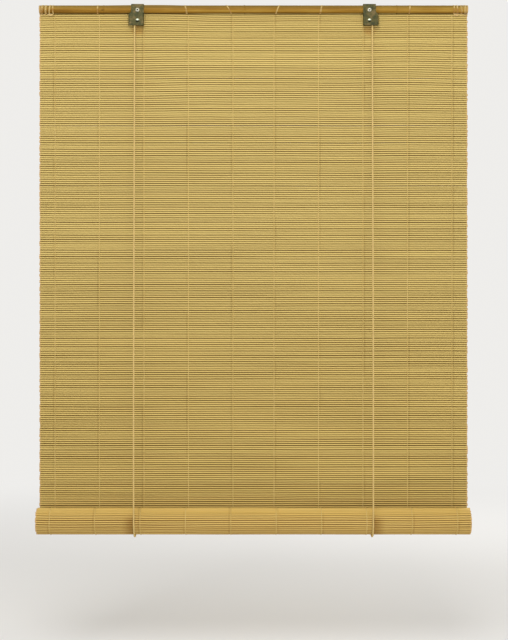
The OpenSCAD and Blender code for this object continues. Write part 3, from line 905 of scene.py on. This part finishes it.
# Loose thread ends below the batten, in millimetres in from the end of the mat and down from the batten
LOOSE_ENDS = {
    "left": [
        [(13, -1), (12, 0.6), (9, 1.5), (5, 1.9), (0, 1.6)],
        [(15, 0.4), (18, 2.8)],
        [(19, 0.6), (22, 3.2)],
    ],
    "right": [
        [(25, 2.8), (20, 2), (14, 0.4), (9, 0.8), (6, 2)],
        [(7, 1.8), (0, 2.2)],
    ],
}
LOOSE_FORWARD = 0.8 * MM


def tie_path(x, lean, slant):
    """One turn of thread round the batten and the top of the mat, leaning along X on the front."""
    middle = Vector((x, batten_high.y, (batten_low.z + batten_high.z) / 2))
    half = (tie_high.z - tie_low.z) / 2 - THREAD_R
    back = Vector((0, mat_high.y + THREAD_R - batten_high.y, 0))
    up = Vector((0, 0, 1))
    forward = Vector((0, -1, 0))
    path = [middle + back - up * half, middle + back + up * half]
    path += arc(middle, up, forward, half, 0, math.pi, TIE_STEP)
    path.append(middle + back - up * half)
    for i, point in enumerate(path):
        share = (point.z - middle.z) / (2 * half) + 0.5
        point.x += lean * share + slant * i / len(path)
    return path


def batten_threads():
    """Two turns of each warp round the batten, but for the warps beside the brackets."""
    tied = [w for w in warp_places if abs(abs(w) - pulley.x) > BRACKET_ROOM]
    paths = []
    for x, lean in zip(tied, TIE_LEANS):
        for turn in (-1, 1):
            paths.append(tie_path(x + turn * TIE_TURN, lean * MM, draw.uniform(-TIE_SLANT, TIE_SLANT) * MM))
    mesh = tube_mesh("batten_tie_threads", paths, THREAD_R)
    new_object("batten_tie_threads", mesh, binding_thread, "head", "thread", "batten_ties")


def knot_path(centre, radius, stretch):
    """A closed overhand knot, wider along X by stretch."""
    path = []
    for i in range(KNOT_STEPS + 1):
        t = math.tau * i / KNOT_STEPS
        x = (math.sin(t) + 2 * math.sin(2 * t)) * radius / 3 * stretch
        z = (math.cos(t) - 2 * math.cos(2 * t)) * radius / 3
        y = -math.sin(3 * t) * radius / 3
        path.append(centre + Vector((x, y, z)))
    return path


def end_bindings():
    """Extra turns at both ends of the batten, with a knot and loose ends."""
    for side, name in zip((-1, 1), SIDES):
        outer_warp = side * warp_w / 2
        paths = []
        for step in BINDING_STEPS:
            x = outer_warp - side * step * BINDING_PITCH
            for turn in (-1, 0, 1):
                lean = draw.uniform(-1, 1) - side * BINDING_LEAN
                paths.append(tie_path(x + turn * BINDING_TURN, lean * MM, draw.uniform(-1, 1) * MM))
        knot = Vector((outer_warp + side * KNOT_OUT, mat_low.y - KNOT_FORWARD, batten_low.z - KNOT_DOWN))
        paths.append(knot_path(knot, KNOT_R, KNOT_STRETCH))
        y = mat_low.y - LOOSE_FORWARD
        for points in LOOSE_ENDS[name]:
            paths.append([
                Vector((side * (mat_w / 2 - inward * MM), y, batten_low.z - down * MM))
                for inward, down in points
            ])
        mesh = tube_mesh("binding_threads_" + name, paths, THREAD_R)
        new_object("binding_threads_" + name, mesh, binding_thread, "head", "thread", "end_binding_" + name)


# Lift cords
ANCHOR_TURN = math.radians(245)
FRONT_BOW = 5 * MM
# The most that share ** 2 * (1 - share) reaches, two thirds of the way down
BOW_PEAK = 4 / 27
TAIL_KNOT_UP, TAIL_KNOT_R = 2.2 * MM, 1.5 * MM
right_x, up_z, back_y = Vector((1, 0, 0)), Vector((0, 0, 1)), Vector((0, 1, 0))
cord_step = CORD_LAY / CORD_LAY_STEPS
wrap_r = tail_high.x - cord_r - pulley.x


def mirrored(path, side):
    """The right side's path, or the same on the left."""
    return path if side == "right" else [Vector((-p.x, p.y, p.z)) for p in path]


def front_lean():
    """Lean of the front run, which drops from the pulley and is tangent to the sling."""
    reach = Vector((pulley.y - roll_axis.y, pulley.z - roll_axis.z))
    return math.atan2(reach.x, reach.y) + math.asin(sling_r / reach.length)


def front_run(start, end):
    """The drop from the pulley, bowed a little so that it lies on the roll when the roll is high."""
    path = straight(start, end, cord_step)
    for point in path:
        share = (start.z - point.z) / (start.z - end.z)
        point.y -= FRONT_BOW * share ** 2 * (1 - share) / BOW_PEAK
    return path


def cord_runs():
    """The right cord: over the pulley, down the front, under the roll, up the back and round the screw.

    Each run has its points, a direction that its path stays square to, and the body that carries it.
    """
    sling_centre = Vector((sling_x, roll_axis.y, roll_axis.z))
    sling = arc(sling_centre, back_y, -up_z, sling_r, 0, math.pi + front_lean(), cord_step)
    front = front_run(pulley + right_x * wrap_r, sling[-1])
    screw = Vector((pulley.x, (anchor_low.y + anchor_high.y) / 2, screw_z))
    anchor_r = anchor_high.x - screw.x - cord_r
    anchor = arc(screw, right_x, up_z, anchor_r, 0, ANCHOR_TURN, cord_step)
    back = straight(sling[0], anchor[0], cord_step)
    over = arc(pulley, right_x, up_z, wrap_r, 0, math.pi, cord_step)
    knot = Vector((pulley.x - wrap_r, pulley.y, tail_low.z + TAIL_KNOT_UP))
    tail = over + straight(over[-1], knot, cord_step)[1:]
    return {
        "tail": (tail, back_y, "head"),
        "front": (front, right_x, "head"),
        "sling": (sling, right_x, "slings"),
        "back": (back, right_x, "head"),
        "anchor": (anchor, back_y, "head"),
    }


def lift_cord(side):
    """A twisted cord, as a piece for each run; its front and back runs get meshes of their own."""
    for run, (path, normal, body) in cord_runs().items():
        name = "cord_%s_%s" % (side, run)
        path = mirrored(path, side)
        paths = rope_paths(path, normal, cord_r)
        if run == "tail":
            paths.append(knot_path(path[-1], TAIL_KNOT_R, 1.0))
        mesh = tube_mesh(name, paths, cord_r / 2)
        piece = new_object(name, mesh, cotton_cord, body, "cord", "lift_cord_%s_%s" % (side, run))
        if run in ("front", "back"):
            shorten(piece)


def dress_cad_nodes():
    """Finishes for the rigid CAD nodes that are shown as they are."""
    finishes = {
        "head_batten": split_bamboo,
        "bottom_batten": round_bamboo,
        "screw_washers": bright_zinc,
        "screw_nuts": bright_zinc,
    }
    for side in SIDES:
        finishes["bracket_" + side] = dull_steel
        finishes["bracket_screw_" + side] = screw_zinc
        finishes["axle_rivet_" + side] = dull_zinc
        finishes["pulley_wheel_" + side] = black_nylon
    for name, material in finishes.items():
        mesh = nodes[name].data
        mesh.materials.clear()
        mesh.materials.append(material)


# Camera, studio and light

def aim(thing, target):
    """Turns a lamp or camera towards a point."""
    thing.rotation_euler = (Vector(target) - thing.location).to_track_quat("-Z", "Y").to_euler()


def camera():
    """A camera square to the mat that frames it as the photograph does."""
    pixel = mat_w / (MAT_RIGHT_PX - MAT_LEFT_PX)
    data = bpy.data.cameras.new("camera")
    data.sensor_width = SENSOR
    data.lens = SENSOR * CAMERA_DISTANCE / (PHOTO_H_PX * pixel)
    eye = bpy.data.objects.new("camera", data)
    bpy.context.scene.collection.objects.link(eye)
    x = (PHOTO_W_PX - MAT_LEFT_PX - MAT_RIGHT_PX) / 2 * pixel
    z = -(PHOTO_H_PX / 2 - MOUNTING_FACE_PX) * pixel
    eye.location = (x, mat_y - CAMERA_DISTANCE, z)
    aim(eye, (x, mat_y, z))
    bpy.context.scene.camera = eye


PALE = (0.86, 0.85, 0.83, 1.0)
FLOOR_DROP = 0.22
FLOOR_SIZE = 14.0
FLOOR_FADE = (0.9, 2.6)


def studio_floor():
    """A pale floor that keeps the object's shadow and runs out into the pale background."""
    bm = bmesh.new()
    bmesh.ops.create_grid(bm, x_segments=2, y_segments=2, size=FLOOR_SIZE / 2)
    bmesh.ops.translate(bm, verts=bm.verts, vec=(0, 0, cad_low.z - FLOOR_DROP))
    mesh = bpy.data.meshes.new("studio_floor")
    bm.to_mesh(mesh)
    bm.free()
    floor = bpy.data.objects.new("studio_floor", mesh)
    bpy.context.scene.collection.objects.link(floor)
    finish = Finish("pale_floor", roughness=0.9, specular=0.1)
    finish.colour(PALE)
    tree = finish.tree
    glow = tree.nodes.new("ShaderNodeEmission")
    glow.inputs["Color"].default_value = PALE
    distance = tree.nodes.new("ShaderNodeVectorMath")
    distance.operation = "LENGTH"
    tree.links.new(finish.stretched((1, 1, 0)), distance.inputs[0])
    fade = finish.between(distance.outputs["Value"], *FLOOR_FADE)
    blend = tree.nodes.new("ShaderNodeMixShader")
    tree.links.new(fade, blend.inputs[0])
    tree.links.new(finish.shader.outputs[0], blend.inputs[1])
    tree.links.new(glow.outputs[0], blend.inputs[2])
    tree.links.new(blend.outputs[0], tree.nodes["Material Output"].inputs["Surface"])
    mesh.materials.append(finish.material)


WORLD_LIGHT = 0.42
WORLD_TINT = (1.0, 0.99, 0.97, 1.0)


def studio_world():
    """Even light all round, with a pale background for the camera and for reflections."""
    world = bpy.data.worlds.new("studio")
    bpy.context.scene.world = world
    world.use_nodes = True
    tree = world.node_tree
    light = tree.nodes["Background"]
    light.inputs["Color"].default_value = WORLD_TINT
    light.inputs["Strength"].default_value = WORLD_LIGHT
    pale = tree.nodes.new("ShaderNodeBackground")
    pale.inputs["Color"].default_value = PALE
    rays = tree.nodes.new("ShaderNodeLightPath")
    shown = rays.outputs["Is Camera Ray"]
    for kind in ("Is Glossy Ray", "Is Transmission Ray"):
        either = tree.nodes.new("ShaderNodeMath")
        either.operation = "MAXIMUM"
        tree.links.new(shown, either.inputs[0])
        tree.links.new(rays.outputs[kind], either.inputs[1])
        shown = either.outputs[0]
    blend = tree.nodes.new("ShaderNodeMixShader")
    tree.links.new(shown, blend.inputs[0])
    tree.links.new(light.outputs[0], blend.inputs[1])
    tree.links.new(pale.outputs[0], blend.inputs[2])
    tree.links.new(blend.outputs[0], tree.nodes["World Output"].inputs["Surface"])


# Soft boxes: place, width and power in watts
SOFT_BOXES = {
    "key_light": ((-0.4, -2.0, 1.5), 1.6, 38),
    "fill_light": ((0.5, -2.7, -1.0), 2.0, 40),
    "back_light": ((0.8, 2.1, 0.7), 1.5, 34),
}


def soft_boxes():
    """Square area lamps that face the middle of the mat."""
    for name, (place, width, power) in SOFT_BOXES.items():
        data = bpy.data.lights.new(name, "AREA")
        data.shape = "SQUARE"
        data.size = width
        data.energy = power
        lamp = bpy.data.objects.new(name, data)
        bpy.context.scene.collection.objects.link(lamp)
        lamp.location = place
        aim(lamp, (0, mat_y, (mat_top + mat_bottom) / 2))


camera()
for cord_side in SIDES:
    lift_cord(cord_side)
hanging_mat()
wound_mat()
hanging_threads()
wound_threads()
batten_threads()
end_bindings()
dress_cad_nodes()
studio_floor()
studio_world()
soft_boxes()
bpy.context.scene.view_settings.view_transform = "Standard"
